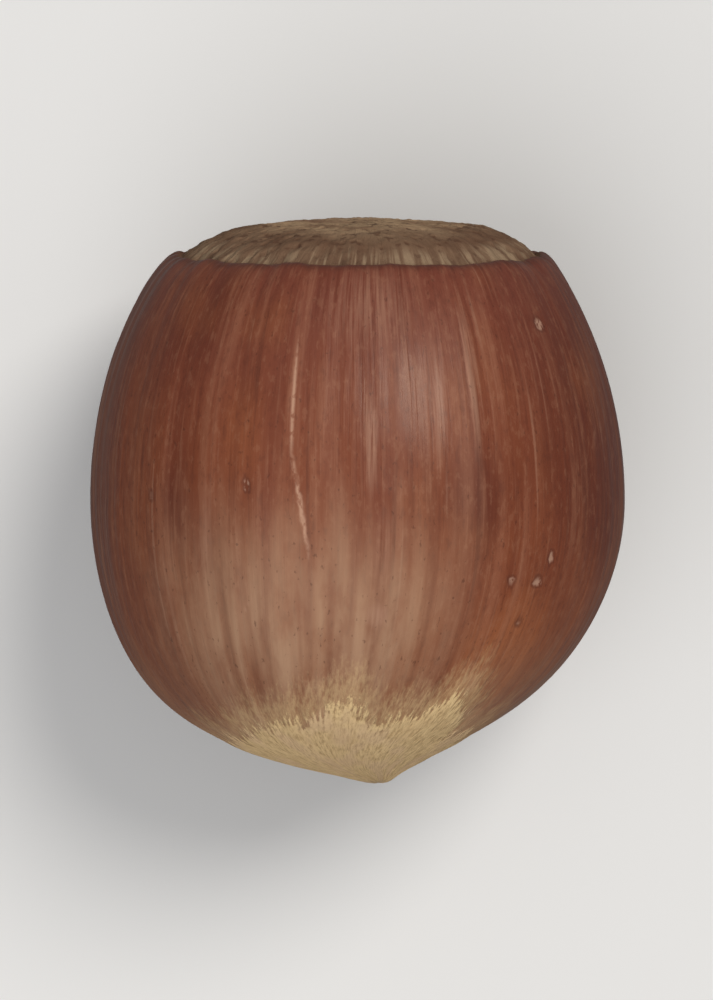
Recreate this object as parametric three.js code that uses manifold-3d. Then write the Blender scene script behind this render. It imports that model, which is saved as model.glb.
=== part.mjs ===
// A hazelnut in its shell, lying on its flatter side. Millimetres, +Z up.
//
// The nut's long axis is Y. Its basal scar, where the leafy husk held it, faces +Y, and its
// blunt pointed apex faces -Y. It is flatter along Z than along X, so it lies with X level.
// Shell, scar and apex grew as one piece and are one closed solid. The origin is on the
// surface that the nut rests on, under the middle of the nut.

import * as THREE from 'three';
import { mergeVertices } from 'three/addons/utils/BufferGeometryUtils.js';
import Module from 'manifold-3d';

// Overall size.
const LENGTH = 21.0; // top of the scar to the tip of the apex, along Y
const WIDTH = 20.0; // widest section, along X
const THICKNESS = 18.6; // from the flat spot to the top, along Z
const FLAT_DEPTH = 0.15; // how much of the round side the flat spot takes away

// Profile from the tip to the middle of the scar. The radius is in half widths, and the
// distance from the widest section is in nut lengths.
const APEX_REACH = 0.505; // widest section to the tip
const APEX_DRAW = 0.46; // how far the outline is drawn in below a plain ellipse at the tip
const APEX_POWER = 8.8; // how late that drawing in begins
const BASE_REACH = 0.63; // the shell's lower half is an ellipse of this half length...
const BASE_END_RADIUS = 0.8; // ...up to this radius, where the shoulder begins
const RIM_RADIUS = 0.68; // edge of the scar
const RIM_HEIGHT = 0.438; // widest section to the edge of the scar
const LEDGE_RADIUS = 0.665; // foot of the small step inside that edge
const LEDGE_HEIGHT = 0.43;
const SCAR_HEIGHT = 0.494; // widest section to the middle of the domed scar
const DOME_POWER = 5; // how flat the dome is in the middle and how steep at its edge

// Where the nut differs from a turned body, in half widths.
const LEAN = 0.1; // the apex half sags this far towards -X...
const TIP_HOOK = 0.183; // ...and the tip itself turns back towards +X
const TIP_HOOK_POWER = 15;
const TIP_DROP = 0.08; // the tip sits this far below the middle
const SCAR_SHIFT = 0.03; // the scar sits this far towards +X...
const SCAR_SHIFT_POWER = 8;
const SCAR_TILT = 0.06; // ...and faces slightly up, by this slope

// Broad shallow ridges that run along the shell: how many, how high in half widths, and turn.
const RIDGES = [
  { count: 3, height: 0.01, turn: 0.6 },
  { count: 5, height: 0.007, turn: 2.1 },
  { count: 8, height: 0.004, turn: 4.4 },
];

// Fineness of the facets.
const SIDES = 72;
const APEX_STEPS = 18;
const BASE_STEPS = 9;
const SHOULDER_STEPS = 4;
const SCAR_STEPS = 9;

const wasm = await Module();
wasm.setup();

// Apex half: an ellipse drawn in to a blunt point, from the tip to the widest section.
function apexPoints() {
  const points = [new THREE.Vector2(0, -APEX_REACH)];
  for (let i = 1; i <= APEX_STEPS; i += 1) {
    const angle = (Math.PI / 2) * (1 - i / APEX_STEPS);
    const along = Math.sin(angle);
    const radius = Math.cos(angle) * (1 - APEX_DRAW * along ** APEX_POWER);
    points.push(new THREE.Vector2(radius, -APEX_REACH * along));
  }
  return points;
}

// Base half: an ellipse from the widest section to the start of the shoulder.
function basePoints() {
  const endAngle = Math.acos(BASE_END_RADIUS);
  const points = [];
  for (let i = 1; i <= BASE_STEPS; i += 1) {
    const angle = (endAngle * i) / BASE_STEPS;
    points.push(new THREE.Vector2(Math.cos(angle), BASE_REACH * Math.sin(angle)));
  }
  return points;
}

// Shoulder: rounds the shell over into the level edge of the scar.
function shoulderPoints(start) {
  const slope = (BASE_REACH * BASE_END_RADIUS) / Math.sqrt(1 - BASE_END_RADIUS ** 2);
  const cornerRadius = start.x - (RIM_HEIGHT - start.y) / slope;
  const corner = new THREE.Vector2(cornerRadius, RIM_HEIGHT);
  const rim = new THREE.Vector2(RIM_RADIUS, RIM_HEIGHT);
  return new THREE.QuadraticBezierCurve(start, corner, rim).getPoints(SHOULDER_STEPS).slice(1);
}

// Scar: a low, flat-topped dome inside the small step at its edge.
function scarPoints() {
  const points = [];
  for (let i = 0; i <= SCAR_STEPS; i += 1) {
    const radius = LEDGE_RADIUS * (1 - i / SCAR_STEPS);
    const dome = 1 - (radius / LEDGE_RADIUS) ** DOME_POWER;
    points.push(new THREE.Vector2(radius, LEDGE_HEIGHT + (SCAR_HEIGHT - LEDGE_HEIGHT) * dome));
  }
  return points;
}

function nutProfile() {
  const shell = [...apexPoints(), ...basePoints()];
  const shoulder = shoulderPoints(shell[shell.length - 1]);
  const points = [...shell, ...shoulder, ...scarPoints()];
  return points.map((point) => new THREE.Vector2(point.x * (WIDTH / 2), point.y * LENGTH));
}

// Turns the even body of revolution into a grown nut: ridges, a leaning apex, an offset scar.
function growUneven(geometry) {
  const half = WIDTH / 2;
  const position = geometry.attributes.position;
  const vertex = new THREE.Vector3();
  for (let i = 0; i < position.count; i += 1) {
    vertex.fromBufferAttribute(position, i);
    const round = Math.atan2(vertex.z, vertex.x);
    const radius = Math.hypot(vertex.x, vertex.z) / half;
    const towardsApex = Math.max(-vertex.y / (APEX_REACH * LENGTH), 0);
    const towardsScar = Math.max(vertex.y / (SCAR_HEIGHT * LENGTH), 0);
    let swell = 1;
    RIDGES.forEach(({ count, height, turn }) => {
      swell += height * radius * Math.cos(count * round + turn);
    });
    const hook = TIP_HOOK * towardsApex ** TIP_HOOK_POWER - LEAN * towardsApex ** 2;
    const shift = SCAR_SHIFT * towardsScar ** SCAR_SHIFT_POWER;
    position.setXYZ(
      i,
      vertex.x * swell + half * (hook + shift),
      vertex.y - SCAR_TILT * vertex.z * towardsScar ** 2,
      vertex.z * swell - half * TIP_DROP * towardsApex ** 2,
    );
  }
}

// Brings the body to its overall size, with its lowest point FLAT_DEPTH under the surface.
function fitToSize(geometry) {
  const box = new THREE.Box3().setFromBufferAttribute(geometry.attributes.position);
  const size = box.getSize(new THREE.Vector3());
  const middle = box.getCenter(new THREE.Vector3());
  geometry.translate(-middle.x, -middle.y, -box.min.z);
  geometry.scale(WIDTH / size.x, LENGTH / size.y, (THICKNESS + FLAT_DEPTH) / size.z);
  geometry.translate(0, 0, -FLAT_DEPTH);
}

// A geometry as a solid: only positions, shared vertices merged, no collapsed triangles.
function toSolid(geometry) {
  const bare = geometry.clone();
  bare.deleteAttribute('normal');
  bare.deleteAttribute('uv');
  const merged = mergeVertices(bare);
  const triVerts = [];
  for (let i = 0; i < merged.index.count; i += 3) {
    const [a, b, c] = [0, 1, 2].map((corner) => merged.index.getX(i + corner));
    if (a !== b && b !== c && c !== a) {
      triVerts.push(a, b, c);
    }
  }
  return new wasm.Manifold(new wasm.Mesh({
    numProp: 3,
    vertProperties: new Float32Array(merged.attributes.position.array),
    triVerts: new Uint32Array(triVerts),
  }));
}

function toGeometry(solid) {
  const { vertProperties, triVerts } = solid.getMesh();
  const geometry = new THREE.BufferGeometry();
  geometry.setAttribute('position', new THREE.BufferAttribute(vertProperties, 3));
  geometry.setIndex(new THREE.BufferAttribute(triVerts, 1));
  geometry.computeVertexNormals();
  return geometry;
}

function hazelnutGeometry() {
  const body = new THREE.LatheGeometry(nutProfile(), SIDES);
  growUneven(body);
  fitToSize(body);
  const surface = new THREE.BoxGeometry(2 * WIDTH, 2 * LENGTH, THICKNESS);
  surface.translate(0, 0, -THICKNESS / 2);
  return toGeometry(toSolid(body).subtract(toSolid(surface)));
}

const shell = new THREE.MeshStandardMaterial({ color: 0x7a452c, roughness: 0.45, metalness: 0 });

const hazelnut = new THREE.Mesh(hazelnutGeometry(), shell);
hazelnut.name = 'hazelnut';

const part = new THREE.Group();
part.add(hazelnut);

export default part;
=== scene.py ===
"""The looks of a hazelnut in its shell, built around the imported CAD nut.

Metres, +Z up. The nut lies on its flatter side with its long axis along Y: the rough basal scar
faces +Y and the blunt apex faces -Y. One fine mesh stands for the whole nut. Its outline follows
the CAD nut's box, and its streaks, ridges, scar and felted point are worked out from that.
"""

import itertools
import math

import bpy
import numpy as np
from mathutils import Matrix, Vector


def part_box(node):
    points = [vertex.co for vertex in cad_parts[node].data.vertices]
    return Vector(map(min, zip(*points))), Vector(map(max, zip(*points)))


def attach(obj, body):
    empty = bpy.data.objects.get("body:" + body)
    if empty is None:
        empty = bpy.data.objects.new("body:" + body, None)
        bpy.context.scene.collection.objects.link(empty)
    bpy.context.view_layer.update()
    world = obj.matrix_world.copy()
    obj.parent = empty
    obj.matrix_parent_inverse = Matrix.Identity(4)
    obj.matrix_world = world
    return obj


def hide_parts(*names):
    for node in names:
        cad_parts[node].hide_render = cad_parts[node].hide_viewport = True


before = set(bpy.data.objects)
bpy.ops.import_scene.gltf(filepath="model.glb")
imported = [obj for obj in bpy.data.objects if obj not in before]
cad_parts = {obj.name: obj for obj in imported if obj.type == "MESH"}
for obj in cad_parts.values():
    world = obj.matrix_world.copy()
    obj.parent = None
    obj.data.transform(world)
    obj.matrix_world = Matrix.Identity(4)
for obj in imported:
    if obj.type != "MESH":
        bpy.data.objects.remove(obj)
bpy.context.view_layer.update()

LOW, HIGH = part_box("hazelnut")
WIDTH, LENGTH, THICKNESS = HIGH - LOW
HALF = WIDTH / 2
MM = 0.001

# Outline from the tip to the middle of the scar, as in the CAD nut. Radii are in half widths,
# and distances from the widest section are in nut lengths.
FLAT_DEPTH = 0.15 * MM
APEX_REACH, APEX_DRAW, APEX_POWER = 0.505, 0.46, 8.8
BASE_REACH, BASE_END_RADIUS = 0.63, 0.80
RIM_RADIUS, RIM_HEIGHT = 0.68, 0.438
LEDGE_RADIUS, LEDGE_HEIGHT = 0.665, 0.430
SCAR_HEIGHT, DOME_POWER = 0.494, 5
LEAN, TIP_HOOK, TIP_HOOK_POWER, TIP_DROP = 0.1, 0.183, 15, 0.08
SCAR_SHIFT, SCAR_SHIFT_POWER, SCAR_TILT = 0.03, 8, 0.06
RIDGES = ((3, 0.01, 0.6), (5, 0.007, 2.1), (8, 0.004, 4.4))  # count, height, turn

# Fineness of the mesh: columns round the nut, and rows from the tip to the middle of the scar,
# with how much closer together the rows are on the scar, at its rim and at the tip.
COLUMNS = 480
ROWS = 204
SCAR_CROWDING, RIM_CROWDING, TIP_CROWDING = 1.2, 1.6, 0.8


# ---------------------------------------------------------------- noise

NOISE_GAIN = 1.6  # brings plain gradient noise up to about -1 to 1


def smooth_noise(points, seed):
    """Gradient noise, about -1 to 1, at an (..., 3) array of points."""
    rng = np.random.default_rng(seed)
    shuffle = rng.permutation(256)
    slopes = rng.normal(size=(256, 3))
    slopes /= np.linalg.norm(slopes, axis=1, keepdims=True)
    cell = np.floor(points).astype(int)
    part = points - cell
    fade = part**3 * (part * (part * 6 - 15) + 10)
    total = np.zeros(points.shape[:-1])
    for corner in itertools.product((0, 1), repeat=3):
        at = (cell + corner) & 255
        key = shuffle[(shuffle[(shuffle[at[..., 0]] + at[..., 1]) & 255] + at[..., 2]) & 255]
        weight = np.prod(np.where(corner, fade, 1 - fade), axis=-1)
        total += weight * np.sum(slopes[key] * (part - corner), axis=-1)
    return NOISE_GAIN * total


def layered_noise(points, seed, layers=3):
    """Noise with finer and fainter layers added, about -1 to 1."""
    total = sum(smooth_noise(points * 2**i, seed + i) / 2**i for i in range(layers))
    return total / (2 - 0.5 ** (layers - 1))


def ease(value, low, high):
    """0 below low, 1 above high, and a smooth S between."""
    t = np.clip((value - low) / (high - low), 0, 1)
    return t * t * (3 - 2 * t)


# ---------------------------------------------------------------- outline


def bezier(start, corner, end, count):
    """Points of a curve from start to end that is drawn towards the corner."""
    t = np.linspace(0, 1, count)[:, None]
    return (1 - t) ** 2 * start + 2 * t * (1 - t) * corner + t**2 * end


def outline(count=600):
    """Close-set (radius, distance) points from the tip to the middle of the scar."""
    angle = np.linspace(math.pi / 2, 0, count)
    along = np.sin(angle)
    apex = np.stack([np.cos(angle) * (1 - APEX_DRAW * along**APEX_POWER), -APEX_REACH * along], 1)
    angle = np.linspace(0, math.acos(BASE_END_RADIUS), count)
    base = np.stack([np.cos(angle), BASE_REACH * np.sin(angle)], 1)
    slope = BASE_REACH * BASE_END_RADIUS / math.sqrt(1 - BASE_END_RADIUS**2)
    corner = np.array([BASE_END_RADIUS - (RIM_HEIGHT - base[-1, 1]) / slope, RIM_HEIGHT])
    shoulder = bezier(base[-1], corner, np.array([RIM_RADIUS, RIM_HEIGHT]), count // 4)
    radius = np.linspace(LEDGE_RADIUS, 0, count // 2)
    rise = 1 - (radius / LEDGE_RADIUS) ** DOME_POWER
    dome = LEDGE_HEIGHT + (SCAR_HEIGHT - LEDGE_HEIGHT) * rise
    scar = np.stack([radius, dome], 1)
    points = np.concatenate([apex, base[1:], shoulder[1:], scar])
    return points * (HALF, LENGTH)


def spaced_rows(points, rows):
    """The outline at a set number of rows: their radius and distance, their length along the
    outline from the tip, and the rim's length along it."""
    step = np.linalg.norm(np.diff(points, axis=0), axis=1)
    length = np.concatenate([[0], np.cumsum(step)])
    rim = length[np.argmin(np.hypot(*(points - (RIM_RADIUS * HALF, RIM_HEIGHT * LENGTH)).T))]
    middle = (length[1:] + length[:-1]) / 2
    density = 1 + SCAR_CROWDING * ease(middle, rim - 1.5 * MM, rim - 0.3 * MM)
    density += RIM_CROWDING * np.exp(-(((middle - rim) / (0.3 * MM)) ** 2))
    density += TIP_CROWDING * ease(-middle, -5 * MM, 0)
    share = np.concatenate([[0], np.cumsum(step * density)])
    wanted = np.linspace(0, share[-1], rows)
    at = np.interp(wanted, share, length)
    radius = np.interp(at, length, points[:, 0])
    distance = np.interp(at, length, points[:, 1])
    return radius, distance, at, rim


def grown(radius, distance, turn):
    """The nut's smooth surface before its fine relief, as (rows, columns, 3) points."""
    x = radius * np.cos(turn)
    z = radius * np.sin(turn)
    apexward = np.maximum(-distance / (APEX_REACH * LENGTH), 0)
    scarward = np.maximum(distance / (SCAR_HEIGHT * LENGTH), 0)
    swell = 1 + sum(h * radius / HALF * np.cos(n * turn + start) for n, h, start in RIDGES)
    hook = TIP_HOOK * apexward**TIP_HOOK_POWER - LEAN * apexward**2
    shift = SCAR_SHIFT * scarward**SCAR_SHIFT_POWER
    points = np.stack(
        [
            x * swell + HALF * (hook + shift),
            distance - SCAR_TILT * z * scarward**2,
            z * swell - HALF * TIP_DROP * apexward**2,
        ],
        axis=-1,
    )
    low = points.reshape(-1, 3).min(0)
    high = points.reshape(-1, 3).max(0)
    size = np.array([WIDTH, LENGTH, THICKNESS + FLAT_DEPTH])
    corner = np.array([LOW.x, LOW.y, LOW.z - FLAT_DEPTH])
    return (points - low) * size / (high - low) + corner


def outward(points):
    """Unit normals of a closed-round grid of points."""
    round_step = np.roll(points, -1, axis=1) - np.roll(points, 1, axis=1)
    long_step = np.gradient(points, axis=0)
    normal = np.cross(long_step, round_step)
    normal /= np.maximum(np.linalg.norm(normal, axis=-1, keepdims=True), 1e-12)
    return normal


# ---------------------------------------------------------------- relief

# Heights and depths, in mm.
RIB_HEIGHT, BAND_HEIGHT, STREAK_HEIGHT, DENT_DEPTH = 0.055, 0.08, 0.016, 0.07
LUMP_HEIGHT, GRAIN_HEIGHT, FIBRE_HEIGHT, PIT_DEPTH = 0.15, 0.06, 0.10, 0.10
FELT_HEIGHT, TUFT_HEIGHT, NUB_HEIGHT = 0.05, 0.04, 0.15
SCRATCH_DEPTH, NICK_DEPTH = 0.02, 0.05
# How far the scar's rim wanders outwards and along the nut, in mm.
RIM_OUT, RIM_ALONG = 0.14, 0.20


def streaks(turn, length, narrow, stretch, seed, layers=2):
    """Noise drawn out along the nut: narrow is how many streaks fit a half width."""
    points = np.stack(
        [narrow * np.cos(turn), narrow * np.sin(turn), narrow / stretch * length / HALF], axis=-1
    )
    return layered_noise(points, seed, layers)


def off_meridian(turn, angle):
    """Angle from a meridian, towards +X. The meridian is given in degrees from the top."""
    return (math.pi / 2 - math.radians(angle) - turn + math.pi) % (2 * math.pi) - math.pi


# The felt reaches this far from the tip, in mm, and further on the side of one meridian.
FELT_REACH, FELT_EXTRA, FELT_MERIDIAN = 4.4, 2.9, 8
# Long points of the felt's edge: meridian, half width in degrees and extra reach in mm.
FELT_POINTS = (
    (-2, 6, 0.9),
    (17, 8, 0.45),
    (35, 9, 1.75),
    (112, 10, 0.9),
    (165, 9, 1.0),
    (-128, 8, 0.9),
)


def felt_depth(turn, length):
    """How far inside the pale felted point a place lies, in metres. Negative is outside it."""
    facing = np.clip(np.cos(off_meridian(turn, FELT_MERIDIAN)), 0, 1)
    reach = FELT_REACH + FELT_EXTRA * facing**1.3
    for angle, spread, extra in FELT_POINTS:
        reach += extra * np.exp(-((off_meridian(turn, angle) / math.radians(spread)) ** 2))
    fingers = 1.1 * streaks(turn, length, 6, 8, 31)
    fine = 0.45 * streaks(turn, length, 22, 6, 35)
    return (reach + fingers + fine) * MM - length


def bloom_and_sheen_cover(turn, length, distance):
    """How thick the greyish bloom lies, 0 to 1.

    It is a soft-edged patch on the apex half, thickest on top towards -X, where it is partly real
    bloom and partly painted sheen, with other patches underneath and a thin collar round the felt.
    """
    top = ease(off_meridian(turn, -44), math.radians(-24), math.radians(24))
    top *= ease(-off_meridian(turn, 20), math.radians(-16), math.radians(16))
    around = np.stack([np.cos(turn), np.sin(turn), np.zeros_like(turn)], axis=-1)
    beneath = ease(-np.sin(turn), 0.0, 0.5) * ease(smooth_noise(around * 2.2, 81), -0.1, 0.5)
    side = np.maximum(top, 0.8 * beneath)
    edge = 1.8 * streaks(turn, length, 6, 5, 83) + 0.9 * streaks(turn, length, 15, 9, 85)
    down = -distance / MM
    patch = side * ease(down + edge, -1.5, 5.0) * (1 - 0.45 * ease(down + edge, 4.5, 8.5))
    collar = 0.3 * ease(down + 0.6 * edge, 4.5, 8.0)
    return np.maximum(patch, collar)


# Broad patches of colour: meridian and its spread in degrees, distance from the widest section
# and its spread in mm, and tone, which is dark red below 0 and orange above. The first, on the
# +X side, is partly dark shell and partly painted shade that darkens the side the key brightens.
PATCHES = (
    (80, 30, 3.0, 7.5, -1.2),
    (26, 8, 0.0, 3.0, -0.85),
    (44, 22, -5.5, 3.2, 0.9),
    (-24, 9, 3.0, 3.0, 0.4),
    (-31, 8, -2.0, 2.5, -0.6),
    (-41, 5, 0.4, 2.2, -0.7),
    (-40, 20, 7.5, 3.5, -0.6),
    (-80, 20, -1.0, 5.0, -0.4),
    (150, 30, 4.0, 5.0, -0.6),
    (-150, 30, -3.0, 4.0, 0.6),
)


def shell_tone_and_shade(turn, length, distance):
    """From -1, dark red, to 1, orange."""
    tone_and_shade = 0.35 * streaks(turn, length, 3, 3, 91, 3)
    for angle, spread, at, reach, strength in PATCHES:
        off = (off_meridian(turn, angle) / math.radians(spread)) ** 2
        off = off + ((distance / MM - at) / reach) ** 2
        tone_and_shade = tone_and_shade + strength * np.exp(-off)
    return np.clip(tone_and_shade, -1, 1)


def pits(x, z, count, radius, seed):
    """Round pits scattered over the scar: 1 at a pit's middle and 0 outside them all."""
    rng = np.random.default_rng(seed)
    out = LEDGE_RADIUS * HALF * np.sqrt(rng.uniform(0.005, 0.94, count))
    around = rng.uniform(0, 2 * math.pi, count)
    size = radius * rng.uniform(0.6, 1.5, count)
    depth = np.zeros(x.shape)
    for px, pz, s in zip(out * np.cos(around), out * np.sin(around), size):
        near = np.clip(1 - ((x - px) ** 2 + (z - pz) ** 2) / s**2, 0, 1)
        depth = np.maximum(depth, near * np.sqrt(near))
    return depth


def scar_relief(radius, turn, inside, pit):
    """Height of the scar's corky face, in metres."""
    x, z = radius * np.cos(turn), radius * np.sin(turn)
    flat = np.stack([x, z, np.zeros_like(x)], axis=-1) / MM
    lumps = layered_noise(flat * 0.5, 51, 3) * LUMP_HEIGHT
    grain = layered_noise(flat * 2.4, 55, 2) * GRAIN_HEIGHT
    fibres = streaks(turn, radius, 13, 4, 58) * FIBRE_HEIGHT
    fibres *= ease(radius, 0.30 * HALF, 0.62 * HALF)
    return ease(inside, 0, 0.35 * MM) * (lumps + grain + fibres - PIT_DEPTH * pit) * MM


def shell_relief(radius, turn, length, inside):
    """Height of the shell's ridges, streaks and dents, in metres."""
    ends = radius / HALF * ease(length, 1.0 * MM, 7 * MM) * ease(-inside, 0, 1.2 * MM)
    ribs = streaks(turn, length, 2.2, 9, 11) * RIB_HEIGHT
    bands = streaks(turn, length, 5, 11, 14) * BAND_HEIGHT
    fine = streaks(turn, length, 17, 16, 17) * STREAK_HEIGHT
    around = np.stack([np.cos(turn), np.sin(turn), length / HALF], axis=-1)
    dents = ease(layered_noise(around * 2.6, 21, 2), 0.25, 0.8) * DENT_DEPTH
    return (ribs + bands + fine - dents) * ends * MM


def felt_relief(turn, length, felt):
    """Height of the felt's tufts and of the small nub at the tip, in metres."""
    tufts = streaks(turn, length, 15, 3, 71, 3)
    cover = ease(felt, -0.3 * MM, 0.8 * MM) * (FELT_HEIGHT + TUFT_HEIGHT * tufts)
    nub = np.exp(-((length / (0.75 * MM)) ** 2)) - 0.3 * np.exp(-((length / (0.25 * MM)) ** 2))
    return (cover + NUB_HEIGHT * nub) * MM


# Marks on the shell: meridian, distance from the widest section towards the scar, half width,
# half length (all in mm), how far it slants towards +X for each mm along it, and its strength.
# Scratches are thin and pale, two of them painted highlight streaks; rubs are broad and faint,
# partly wear and partly painted sheen streaks; and nicks are small chips.
SCRATCHES_AND_GLINTS = (
    (-13.4, 3.8, 0.10, 3.6, -0.02, 0.95),
    (-11.3, 0.1, 0.12, 2.5, -0.16, 1.0),
    # These two pale marks on top, near the key's highlight, are painted highlight streaks.
    (19.3, 0.6, 0.09, 1.7, 0.0, 0.40),
    (4.2, 3.4, 0.14, 0.6, 0.0, 0.50),
    (-23.7, -3.6, 0.14, 0.5, 0.5, 0.45),
    (-30.0, 2.0, 0.07, 1.5, 0.02, 0.30),
    (128.0, 1.0, 0.10, 2.0, 0.1, 0.80),
    (-118.0, -1.0, 0.09, 1.6, -0.1, 0.60),
    (170.0, 4.0, 0.08, 1.4, 0.0, 0.50),
)
# Those on top are painted sheen streaks over the highlight; those round the sides and underneath
# are pale wear.
RUBS_AND_SHEEN_STREAKS = (
    (18.0, 4.0, 0.50, 3.6, 0.02, 0.6),
    (3.0, 7.6, 2.40, 2.0, 0.0, 0.6),
    (3.2, 2.6, 0.34, 2.6, -0.02, 0.9),
    (27.0, 5.0, 0.42, 3.8, 0.03, 0.8),
    (6.5, -1.0, 0.60, 1.9, 0.0, 0.5),
    (5.7, -3.9, 0.60, 0.55, 0.0, 0.9),
    (-33.0, -1.0, 0.40, 2.8, 0.05, 0.5),
    (97.0, 1.5, 0.50, 3.0, 0.0, 0.7),
    (140.0, -0.5, 0.60, 2.5, 0.05, 0.8),
    (-160.0, 2.0, 0.45, 3.0, 0.0, 0.7),
    (-105.0, 3.0, 0.50, 2.2, -0.05, 0.7),
    (-76.0, -2.0, 0.40, 2.6, 0.0, 0.5),
)
NICKS = (
    (52.0, 6.8, 0.32, 0.36, 0.0, 1.0),
    (47.4, -1.9, 0.20, 0.34, 0.0, 1.0),
    (44.4, -2.8, 0.38, 0.26, 0.0, 0.95),
    (36.5, -2.7, 0.28, 0.22, 0.0, 0.85),
    (42.4, -4.3, 0.26, 0.22, 0.0, 0.6),
    (-23.0, 0.9, 0.20, 0.38, 0.0, 0.85),
    (-48.3, 0.4, 0.26, 0.26, 0.0, 0.6),
    (88.0, 0.0, 0.20, 0.26, 0.0, 0.6),
    (150.0, -3.0, 0.26, 0.34, 0.0, 0.9),
    (-140.0, 3.0, 0.22, 0.26, 0.0, 0.8),
    (-95.0, -4.0, 0.20, 0.28, 0.0, 0.6),
)


def marks(turn, distance, radius, spots):
    """A mark's strength in its middle, and 0 away from all marks."""
    found = np.zeros(turn.shape)
    for angle, at, half_width, half_length, slant, strength in spots:
        along = distance / MM - at
        across = off_meridian(turn, angle) * radius / MM - slant * along
        spread = (across / half_width) ** 2 + (along / half_length) ** 2
        found = np.maximum(found, strength * np.clip(1 - spread, 0, 1))
    return found


# ---------------------------------------------------------------- mesh


def grid_faces(rows, columns):
    """Quads of a closed-round grid of vertices, and the triangles that close both poles."""
    here = np.arange(rows * columns).reshape(rows, columns)
    beside = np.roll(here, -1, axis=1)
    quads = np.stack([here[:-1], here[1:], beside[1:], beside[:-1]], axis=-1).reshape(-1, 4)
    tip = np.full(columns, rows * columns)
    ends = [
        np.stack([tip, here[0], beside[0]], axis=-1),
        np.stack([tip + 1, beside[-1], here[-1]], axis=-1),
    ]
    return quads, np.concatenate(ends)


# The flat map that textures are baked on: a disc for the tip and one for the scar, side by side,
# and above them the shell between the two as two half turns.
MAP_STRIP = 0.33
MAP_MARGIN = 0.006
TIP_MIDDLE, SCAR_MIDDLE = 0.25, 0.75
TIP_DISC = 5.0 * MM


def on_disc(middle, across, up):
    """A place on one of the two discs, given as shares of its radius from its middle."""
    radius = 0.5 - MAP_STRIP - MAP_MARGIN
    return np.stack([middle + radius * across, 0.5 - MAP_STRIP + radius * up], axis=-1)


def flat_map(faces, turns, length, rim):
    """Where each face's corners lie on the map, from each vertex's turns round and length."""
    along = length[faces]
    turns = turns[faces]
    beside = turns[:, 1:2]
    turns = beside + (turns - beside + 0.5) % 1 - 0.5
    cos, sin = np.cos(2 * math.pi * turns), np.sin(2 * math.pi * turns)
    whole = length.max()
    tip_edge = length[length <= TIP_DISC].max()
    scar_edge = length[length >= rim].min()

    outward_share = along / tip_edge
    tip = on_disc(TIP_MIDDLE, outward_share * cos, outward_share * sin)
    outward_share = (whole - along) / (whole - scar_edge)
    scar = on_disc(SCAR_MIDDLE, -outward_share * cos, outward_share * sin)
    second = turns.mean(axis=1, keepdims=True) > 0.5
    across = 1 - 2 * (turns - 0.5 * second)
    up = (along - tip_edge) / (scar_edge - tip_edge)
    u = MAP_MARGIN + (1 - 2 * MAP_MARGIN) * across
    v = 1 - MAP_STRIP * (2 - second) + MAP_MARGIN + (MAP_STRIP - 2 * MAP_MARGIN) * up
    shell = np.stack([u, v], axis=-1)

    at_tip = (along.max(axis=1) <= tip_edge)[:, None, None]
    at_scar = (along.min(axis=1) >= scar_edge)[:, None, None]
    return np.where(at_tip, tip, np.where(at_scar, scar, shell))


def add_attribute(mesh, name, kind, values):
    """Keeps a number or a vector with each vertex, for the material to read."""
    attribute = mesh.attributes.new(name, kind, "POINT")
    field = "vector" if kind == "FLOAT_VECTOR" else "value"
    attribute.data.foreach_set(field, np.ascontiguousarray(values, dtype=np.float32).ravel())


def nut_grid():
    """Each vertex's turn, radius, distance and length, with the rim's and the whole length.

    The poles are left out, and the rim wanders a little.
    """
    radius, distance, length, rim = spaced_rows(outline(), ROWS)
    whole = length[-1]
    turn = np.linspace(0, 2 * math.pi, COLUMNS, endpoint=False)
    turn, radius = np.meshgrid(turn, radius[1:-1])
    distance = np.broadcast_to(distance[1:-1, None], turn.shape)
    length = np.broadcast_to(length[1:-1, None], turn.shape)

    level = np.zeros_like(turn)
    near_rim = np.exp(-(((length - rim) / (1.1 * MM)) ** 2))
    radius = radius + streaks(turn, level, 5, 1, 41, 3) * RIM_OUT * MM * near_rim
    distance = distance + streaks(turn, level, 4, 1, 45, 4) * RIM_ALONG * MM * near_rim
    return turn, radius, distance, length, rim, whole


def make_mesh(vertices, quads, ends, places):
    """A smooth-shaded mesh, with where its faces' corners lie on the flat map."""
    mesh = bpy.data.meshes.new("hazelnut_shell")
    mesh.from_pydata(vertices.tolist(), [], quads.tolist() + ends.tolist())
    mesh.polygons.foreach_set("use_smooth", np.ones(len(mesh.polygons), bool))
    mesh.uv_layers.new(name="OFBake").data.foreach_set("uv", np.concatenate(places).ravel())
    return mesh


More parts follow.
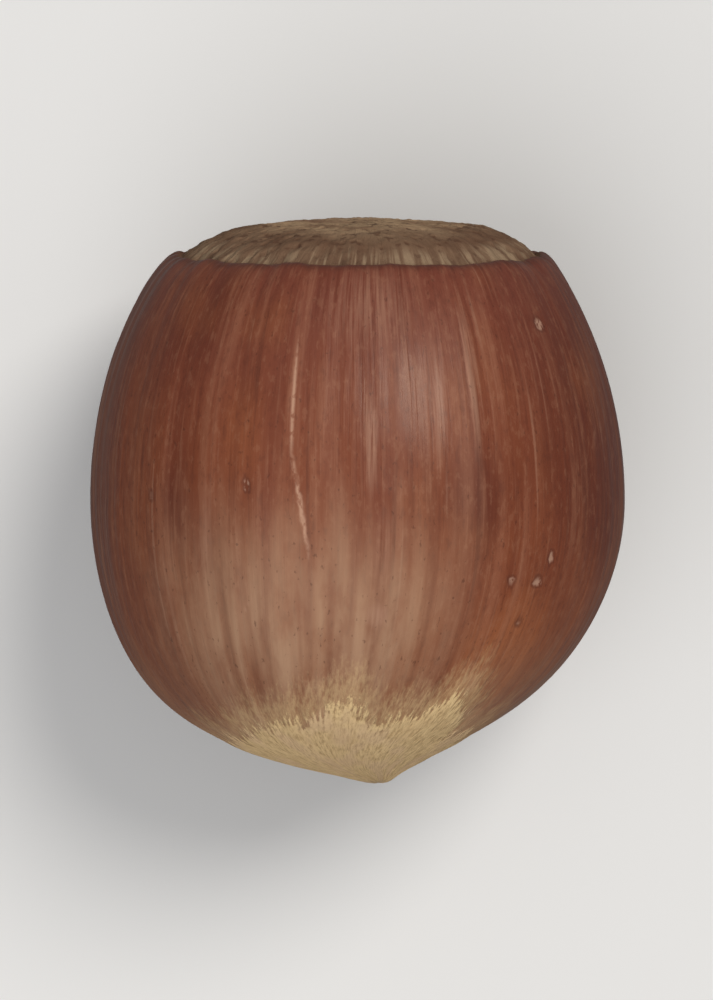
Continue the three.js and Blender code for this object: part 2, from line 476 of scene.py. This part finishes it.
def build_nut():
    """The whole nut as one closed mesh, with what its material needs as vertex attributes."""
    turn, radius, distance, length, rim, whole = nut_grid()
    inside = length - rim

    smooth = grown(radius, distance, turn)
    scratch_and_glint = marks(turn, distance, radius, SCRATCHES_AND_GLINTS)
    rub_and_sheen = marks(turn, distance, radius, RUBS_AND_SHEEN_STREAKS)
    nick = marks(turn, distance, radius, NICKS)
    felt = felt_depth(turn, length)
    x, z = radius * np.cos(turn), radius * np.sin(turn)
    small_pits = pits(x, z, count=260, radius=0.13 * MM, seed=61)
    large_pits = pits(x, z, count=26, radius=0.26 * MM, seed=63)
    pit = np.maximum(small_pits, large_pits) * ease(inside, 0.05 * MM, 0.3 * MM)
    height = shell_relief(radius, turn, length, inside)
    height += scar_relief(radius, turn, inside, pit)
    height += felt_relief(turn, length, felt)
    height -= (SCRATCH_DEPTH * scratch_and_glint + NICK_DEPTH * nick) * MM
    points = smooth + outward(smooth) * height[..., None]

    tip = points[0].mean(0)
    middle = points[-1].mean(0)
    vertices = np.concatenate([points.reshape(-1, 3), [tip, middle]])
    vertices[:, 2] = np.maximum(vertices[:, 2], LOW.z)

    def with_poles(values, at_tip, at_middle):
        """The grid's values in a row, then those of the two poles."""
        return np.concatenate([values.reshape(turn.size, -1), [at_tip], [at_middle]])

    quads, ends = grid_faces(*turn.shape)
    turns = with_poles(turn / (2 * math.pi), [0], [0])[:, 0]
    lengths = with_poles(length, [0], [whole])[:, 0]
    places = [flat_map(faces, turns, lengths, rim).reshape(-1, 2) for faces in (quads, ends)]
    mesh = make_mesh(vertices, quads, ends, places)

    # Across the grain a half width is 1 all round, so that noise streaks run to both ends.
    grain = np.stack([np.cos(turn), np.sin(turn), length / HALF], axis=-1)
    grain = with_poles(grain, (0, 0, 0), (0, 0, length[-1, 0] / HALF))
    add_attribute(mesh, "grain", "FLOAT_VECTOR", grain)
    # The other attributes, each with its value at the tip and in the middle of the scar.
    plain = (
        ("felt", felt / MM, 4, -20),
        ("inside", inside / MM, -26, 6),
        ("scratch_and_glint", scratch_and_glint, 0, 0),
        ("rub_and_sheen", rub_and_sheen, 0, 0),
        ("nick", nick, 0, 0),
        ("pit", pit, 0, 0),
        ("bloom_and_sheen", bloom_and_sheen_cover(turn, length, distance), 0.35, 0),
        ("tone_and_shade", shell_tone_and_shade(turn, length, distance), 0, 0),
    )
    for name, values, at_tip, at_middle in plain:
        add_attribute(mesh, name, "FLOAT", with_poles(values, [at_tip], [at_middle]))
    mesh.update()
    nut = bpy.data.objects.new("hazelnut_shell", mesh)
    bpy.context.collection.objects.link(nut)
    return nut


# ---------------------------------------------------------------- material

DULL_ROUGHNESS = 0.95  # of the felt and the scar
BUMP_HEIGHT = 0.045 * MM


class Nodes:
    """A short way to write a material's nodes."""

    def __init__(self, name):
        self.material = bpy.data.materials.new(name)
        self.material.use_nodes = True
        self.tree = self.material.node_tree
        self.shader = self.tree.nodes["Principled BSDF"]

    def put(self, socket, value):
        """Links a socket to a value that is another node's output, or sets it."""
        if isinstance(value, bpy.types.NodeSocket):
            self.tree.links.new(value, socket)
        elif value is not None:
            socket.default_value = value

    def add(self, kind, *values, output=0, **settings):
        """Makes a node, fills its inputs in order, and gives one of its outputs."""
        node = self.tree.nodes.new(kind)
        for key, value in settings.items():
            setattr(node, key, value)
        for socket, value in zip(node.inputs, values):
            self.put(socket, value)
        return node.outputs[output]

    def attribute(self, name, output="Fac"):
        node = self.tree.nodes.new("ShaderNodeAttribute")
        node.attribute_name = name
        return node.outputs[output]

    def math(self, operation, *values):
        return self.add("ShaderNodeMath", *values, operation=operation)

    def ramp(self, value, low, high, start=0.0, end=1.0):
        """Eases from start to end as value goes from low to high."""
        node = self.tree.nodes.new("ShaderNodeMapRange")
        node.interpolation_type = "SMOOTHSTEP"
        for name, setting in zip(
            ("Value", "From Min", "From Max", "To Min", "To Max"), (value, low, high, start, end)
        ):
            self.put(node.inputs[name], setting)
        return node.outputs["Result"]

    def mix(self, factor, below, above):
        """The colour below where factor is 0, and the colour above where it is 1."""
        node = self.tree.nodes.new("ShaderNodeMix")
        node.data_type = "RGBA"
        for name, setting in zip(("Factor_Float", "A_Color", "B_Color"), (factor, below, above)):
            socket = next(s for s in node.inputs if s.identifier == name)
            self.put(socket, (*setting, 1) if isinstance(setting, tuple) else setting)
        return next(s for s in node.outputs if s.identifier == "Result_Color")

    def layered(self, colour, layers):
        """Lays colours over one another.

        Each layer is what drives it, the value at which it starts, the value at which it is
        strongest, how strong it is there, and its colour.
        """
        for driver, start, full, strength, tint in layers:
            colour = self.mix(self.ramp(driver, start, full, 0, strength), colour, tint)
        return colour

    def stretched(self, vector, scale):
        return self.add("ShaderNodeVectorMath", vector, scale, operation="MULTIPLY")

    def noise(self, vector, detail=2.0, roughness=0.5):
        node = self.tree.nodes.new("ShaderNodeTexNoise")
        node.inputs["Scale"].default_value = 1.0
        node.inputs["Detail"].default_value = detail
        node.inputs["Roughness"].default_value = roughness
        self.put(node.inputs["Vector"], vector)
        return node.outputs["Fac"]


def shell_colour(n, grain, along, streak, speck):
    """Chestnut, redder and darker towards the scar, under soft lengthwise streaks."""
    fibre = n.noise(n.stretched(grain, (58, 58, 2.6)), 3, 0.6)
    band = n.noise(n.stretched(grain, (5, 5, 0.5)), 2)
    cloud = n.noise(n.stretched(grain, (2.2, 2.2, 1.8)), 3)
    hairline = n.noise(n.stretched(grain, (33, 33, 0.8)), 1, 0.5)
    mottle = n.noise(n.stretched(grain, (44, 44, 20)), 3, 0.6)
    tone_and_shade = n.attribute("tone_and_shade")

    colour = n.mix(n.ramp(along, 0.6, 1.4), (0.262, 0.090, 0.040), (0.196, 0.054, 0.025))
    colour = n.layered(
        colour,
        (
            (along, 1.7, 2.6, 1, (0.172, 0.048, 0.030)),
            # Dark red where the tone is low; on the +X side this is partly painted shade.
            (tone_and_shade, -0.05, -0.95, 0.86, (0.100, 0.022, 0.013)),
            (tone_and_shade, 0.10, 0.95, 0.75, (0.345, 0.112, 0.044)),
            (band, 0.42, 0.68, 0.38, (0.125, 0.031, 0.020)),
            (cloud, 0.46, 0.70, 0.35, (0.270, 0.090, 0.038)),
            (streak, 0.50, 0.72, 0.26, (0.330, 0.140, 0.080)),
            (streak, 0.46, 0.28, 0.26, (0.095, 0.024, 0.016)),
            (fibre, 0.53, 0.72, 0.20, (0.360, 0.170, 0.100)),
            (fibre, 0.46, 0.28, 0.30, (0.075, 0.020, 0.013)),
            (mottle, 0.52, 0.68, 0.16, (0.370, 0.180, 0.105)),
            (mottle, 0.46, 0.32, 0.26, (0.085, 0.023, 0.015)),
            (hairline, 0.67, 0.75, 0.30, (0.080, 0.024, 0.016)),
            (hairline, 0.33, 0.25, 0.26, (0.400, 0.215, 0.140)),
        ),
    )

    # A thin greyish bloom, broken by the streaks under it and by blotches of its own. Its patch
    # on top is partly a painted sheen.
    blotch = n.noise(n.stretched(grain, (9, 9, 4)), 3, 0.6)
    uneven = n.ramp(streak, 0.26, 0.66, 0.40, 0.80)
    patchy = n.math("MULTIPLY", uneven, n.ramp(blotch, 0.3, 0.6, 0.6, 1.1))
    bloom_and_sheen = n.math("MULTIPLY", n.attribute("bloom_and_sheen"), patchy)
    colour = n.mix(bloom_and_sheen, colour, (0.440, 0.262, 0.160))

    # Soft pale rubs, partly wear and partly painted sheen streaks, dark specks, and scratches worn
    # through in places.
    rub_and_sheen = n.ramp(n.attribute("rub_and_sheen"), 0, 1, 0, 0.45)
    rubbed_and_sheen = n.math("MULTIPLY", rub_and_sheen, n.ramp(fibre, 0.35, 0.6))
    colour = n.mix(rubbed_and_sheen, colour, (0.430, 0.240, 0.160))
    colour = n.mix(n.ramp(speck, 0.64, 0.74, 0, 0.45), colour, (0.060, 0.019, 0.013))
    # Two of these scratches are painted highlight streaks.
    scratch_and_glint = n.ramp(n.attribute("scratch_and_glint"), 0.1, 0.9, 0, 0.75)
    worn_and_glint = n.math("MULTIPLY", scratch_and_glint, n.ramp(speck, 0.32, 0.52, 0.25, 1))
    colour = n.mix(worn_and_glint, colour, (0.520, 0.300, 0.200))

    # Ragged nicks, each a dark ring round a pale middle.
    nick = n.math("MULTIPLY", n.attribute("nick"), n.ramp(speck, 0.28, 0.50, 0.35, 1.15))
    colour = n.mix(n.ramp(nick, 0.02, 0.30, 0, 0.4), colour, (0.080, 0.022, 0.015))
    colour = n.mix(n.ramp(nick, 0.35, 0.90, 0, 0.75), colour, (0.460, 0.270, 0.190))
    return colour, bloom_and_sheen, fibre


def felt_colour(n, grain, along, fuzz, spot):
    """Cream tufts over darker gaps, and a duller nub at the very tip."""
    tint = n.noise(n.stretched(grain, (4, 4, 4)), 2)
    mat = n.noise(n.stretched(spot, (700, 700, 700)), 3, 0.6)
    colour = n.mix(n.ramp(fuzz, 0.28, 0.60), (0.500, 0.320, 0.155), (0.830, 0.590, 0.305))
    return n.layered(
        colour,
        (
            (mat, 0.46, 0.68, 0.35, (0.660, 0.440, 0.225)),
            (tint, 0.45, 0.60, 0.35, (0.740, 0.490, 0.320)),
            (along, 0.085, 0.04, 0.5, (0.600, 0.440, 0.290)),
        ),
    )


def scar_colour(n, grain, spot, inside, radial, pore):
    """Tan cork with dark dots, reddish patches, and a darker edge with a fringe of pale fibres."""
    cork = n.noise(n.stretched(spot, (480, 480, 480)), 4, 0.65)
    patch = n.noise(n.stretched(spot, (170, 170, 170)), 2)
    colour = n.mix(n.ramp(cork, 0.34, 0.66), (0.250, 0.150, 0.088), (0.480, 0.325, 0.195))
    colour = n.mix(n.ramp(patch, 0.52, 0.72, 0, 0.4), colour, (0.260, 0.135, 0.090))
    fibre = n.math("MULTIPLY", n.ramp(radial, 0.48, 0.68), n.ramp(inside, 2.6, 0.3, 0, 0.7))
    colour = n.mix(fibre, colour, (0.360, 0.245, 0.150))
    groove = n.math("MULTIPLY", n.ramp(radial, 0.44, 0.32), n.ramp(inside, 2.6, 0.3, 0, 0.5))
    colour = n.mix(groove, colour, (0.120, 0.066, 0.040))
    colour = n.layered(
        colour,
        (
            (pore, 0.42, 0.33, 0.75, (0.095, 0.050, 0.032)),
            (n.attribute("pit"), 0.1, 0.8, 0.7, (0.085, 0.040, 0.024)),
            # Darker towards its edge: painted shade, on top of a slightly darker border.
            (inside, 5.0, 1.4, 0.78, (0.105, 0.048, 0.029)),
        ),
    )
    reach = n.math("ADD", inside, n.math("MULTIPLY_ADD", patch, 2.4, -1.2))
    fringe = n.math("MULTIPLY", n.ramp(inside, 0.15, 0.6), n.ramp(reach, 1.7, 0.7))
    fringe = n.math("MULTIPLY", fringe, n.ramp(radial, 0.44, 0.62, 0.1, 0.62))
    return n.mix(fringe, colour, (0.400, 0.285, 0.180))


def nutshell_material():
    """Satin shell, matt felt and corky scar in one material, told apart by the attributes."""
    n = Nodes("nutshell")
    grain = n.attribute("grain", "Vector")
    spot = n.add("ShaderNodeTexCoord", output=3)  # Object
    streak = n.noise(n.stretched(grain, (17, 17, 1.0)), 2, 0.5)
    speck = n.noise(n.stretched(grain, (60, 60, 34)), 2, 0.6)
    fuzz = n.noise(n.stretched(grain, (62, 62, 20)), 3, 0.65)
    radial = n.noise(n.stretched(grain, (26, 26, 3.5)), 2, 0.6)
    pore = n.noise(n.stretched(spot, (2300, 2300, 2300)), 2, 0.6)
    inside = n.attribute("inside")

    along = n.add("ShaderNodeSeparateXYZ", grain, output=2)  # half widths from the tip
    shell, bloom_and_sheen, fibre = shell_colour(n, grain, along, streak, speck)
    # The felt is thick at the tip and thins to scattered hairs past its edge.
    ragged = n.math("MULTIPLY_ADD", fuzz, 3.2, -1.6)
    edge = n.math("ADD", n.attribute("felt"), ragged)
    hairs = n.ramp(edge, -2.3, 0.2, 0, 0.42)
    felt = n.math("MAXIMUM", hairs, n.ramp(edge, -0.4, 0.7))
    colour = n.mix(felt, shell, felt_colour(n, grain, along, fuzz, spot))

    # The scar's edge is ragged, and just outside it the shell is darkened by a painted shadow
    # line.
    rim = n.math("ADD", inside, n.math("MULTIPLY_ADD", radial, 0.7, -0.35))
    scar = n.ramp(rim, -0.05, 0.10)
    colour = n.mix(n.ramp(rim, -0.6, -0.1, 0, 0.6), colour, (0.075, 0.022, 0.014))
    colour = n.mix(scar, colour, scar_colour(n, grain, spot, inside, radial, pore))

    dull = n.math("MAXIMUM", felt, scar)
    satin = n.math("ADD", n.ramp(streak, 0.35, 0.65, 0.29, 0.46), n.math("MULTIPLY", bloom_and_sheen, 0.25))
    roughness = n.add("ShaderNodeMix", dull, None, satin, DULL_ROUGHNESS)

    satin_relief = n.math("ADD", n.math("MULTIPLY", fibre, 0.5), n.math("MULTIPLY", streak, 0.4))
    dull_relief = n.math("ADD", n.math("MULTIPLY", fuzz, 1.4), n.math("MULTIPLY", pore, 1.4))
    height = n.add("ShaderNodeMix", dull, None, satin_relief, dull_relief)
    bump = n.tree.nodes.new("ShaderNodeBump")
    bump.inputs["Strength"].default_value = 0.8
    bump.inputs["Distance"].default_value = BUMP_HEIGHT
    n.put(bump.inputs["Height"], height)

    n.put(n.shader.inputs["Base Color"], colour)
    n.put(n.shader.inputs["Roughness"], roughness)
    n.put(n.shader.inputs["Normal"], bump.outputs["Normal"])
    n.shader.inputs["IOR"].default_value = 1.45
    n.shader.inputs["Specular IOR Level"].default_value = 0.28
    n.shader.inputs["Specular Tint"].default_value = (1.0, 0.86, 0.74, 1)
    return n.material


# ---------------------------------------------------------------- stage

FLOOR_SEEN, FLOOR_BOUNCED = (0.72, 0.716, 0.708), (0.20, 0.197, 0.192)
BACKGROUND = (0.791, 0.780, 0.758)
GLOW = (0.985, 0.992, 1.0)
GLOW_AT_HORIZON, GLOW_OVERHEAD = 0.10, 0.50  # strength
FRAME_WIDTH, FRAME_HEIGHT = 713, 1000
NUT_SHARE = 0.75  # how much of the picture's width the nut takes
CAMERA_LEAN = math.radians(2.5)  # away from straight down, towards the scar end


def floor_material():
    """Pale to look at, and greyer as the nut sees it, so that its sides stay deep in colour."""
    n = Nodes("pale_floor")
    seen = n.add("ShaderNodeLightPath", output=0)  # Is Camera Ray
    n.put(n.shader.inputs["Base Color"], n.mix(seen, FLOOR_BOUNCED, FLOOR_SEEN))
    n.put(n.shader.inputs["Roughness"], 0.95)
    n.put(n.shader.inputs["Specular IOR Level"], 0.0)
    return n.material


def build_floor():
    """A wide flat pale floor. The background beyond it has the colour of the lit floor."""
    reach, rings, sides = 4.0, 10, 64
    radii = [reach * (i / rings) ** 3 for i in range(1, rings + 1)]
    vertices = [(0.0, 0.0, 0.0)]
    for r in radii:
        for j in range(sides):
            a = 2 * math.pi * j / sides
            vertices.append((r * math.cos(a), r * math.sin(a), 0.0))
    faces = [(0, 1 + j, 1 + (j + 1) % sides) for j in range(sides)]
    for i in range(rings - 1):
        here, there = 1 + i * sides, 1 + (i + 1) * sides
        for j in range(sides):
            k = (j + 1) % sides
            faces.append((here + j, there + j, there + k, here + k))
    mesh = bpy.data.meshes.new("floor")
    mesh.from_pydata(vertices, [], faces)
    floor = bpy.data.objects.new("floor", mesh)
    bpy.context.collection.objects.link(floor)
    mesh.materials.append(floor_material())


def add_sun(name, azimuth, elevation, softness, strength, colour):
    """A soft light from far away. Azimuth is turned from +X towards +Y, all in degrees."""
    data = bpy.data.lights.new(name, "SUN")
    data.energy = strength
    data.angle = math.radians(softness)
    data.color = colour
    light = bpy.data.objects.new(name, data)
    a, e = math.radians(azimuth), math.radians(elevation)
    towards = Vector((math.cos(a) * math.cos(e), math.sin(a) * math.cos(e), math.sin(e)))
    light.location = towards * 0.5
    light.rotation_euler = towards.to_track_quat("Z", "Y").to_euler()
    bpy.context.collection.objects.link(light)


def light_stage():
    """A soft key, a softer fill, and an overhead glow that fades towards the horizon.

    The camera sees a plain pale background instead of the glow.
    """
    warm, cool = (1.0, 0.965, 0.915), (0.98, 0.985, 1.0)
    add_sun("key", azimuth=50, elevation=54, softness=26, strength=1.75, colour=warm)
    add_sun("fill", azimuth=236, elevation=54, softness=60, strength=1.0, colour=cool)
    world = bpy.data.worlds.new("studio")
    world.use_nodes = True
    tree = world.node_tree
    glow = tree.nodes["Background"]
    glow.inputs["Color"].default_value = (*GLOW, 1)
    upward = tree.nodes.new("ShaderNodeSeparateXYZ")
    tree.links.new(tree.nodes.new("ShaderNodeTexCoord").outputs["Generated"], upward.inputs[0])
    fade = tree.nodes.new("ShaderNodeMapRange")
    fade.interpolation_type = "SMOOTHSTEP"
    fade.inputs["From Min"].default_value = 0.0
    fade.inputs["From Max"].default_value = 0.9
    fade.inputs["To Min"].default_value = GLOW_AT_HORIZON
    fade.inputs["To Max"].default_value = GLOW_OVERHEAD
    tree.links.new(upward.outputs["Z"], fade.inputs["Value"])
    tree.links.new(fade.outputs["Result"], glow.inputs["Strength"])
    seen = tree.nodes.new("ShaderNodeBackground")
    seen.inputs["Color"].default_value = (*BACKGROUND, 1)
    path = tree.nodes.new("ShaderNodeLightPath")
    pick = tree.nodes.new("ShaderNodeMixShader")
    tree.links.new(path.outputs["Is Camera Ray"], pick.inputs[0])
    tree.links.new(glow.outputs[0], pick.inputs[1])
    tree.links.new(seen.outputs[0], pick.inputs[2])
    tree.links.new(pick.outputs[0], tree.nodes["World Output"].inputs["Surface"])
    bpy.context.scene.world = world
    bpy.context.scene.view_settings.view_transform = "Standard"


def add_camera(centre):
    """Looks straight down on the lying nut, a little from its scar end, with its apex below."""
    lens, sensor = 250.0, 36.0  # mm; the sensor's size is along the frame's longer side
    seen_height = WIDTH / NUT_SHARE * FRAME_HEIGHT / FRAME_WIDTH
    distance = seen_height * lens / sensor
    camera = bpy.data.objects.new("camera", bpy.data.cameras.new("camera"))
    camera.data.lens = lens
    camera.data.sensor_width = sensor
    camera.data.clip_start = 0.01
    camera.data.clip_end = 10
    back = Vector((0, math.sin(CAMERA_LEAN), math.cos(CAMERA_LEAN)))
    camera.location = centre + back * distance
    camera.rotation_euler = (-CAMERA_LEAN, 0, 0)
    bpy.context.collection.objects.link(camera)
    bpy.context.scene.camera = camera


# ---------------------------------------------------------------- scene

nut = build_nut()
nut.data.materials.append(nutshell_material())
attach(nut, "root")
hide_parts("hazelnut")

build_floor()
light_stage()
add_camera((LOW + HIGH) / 2)
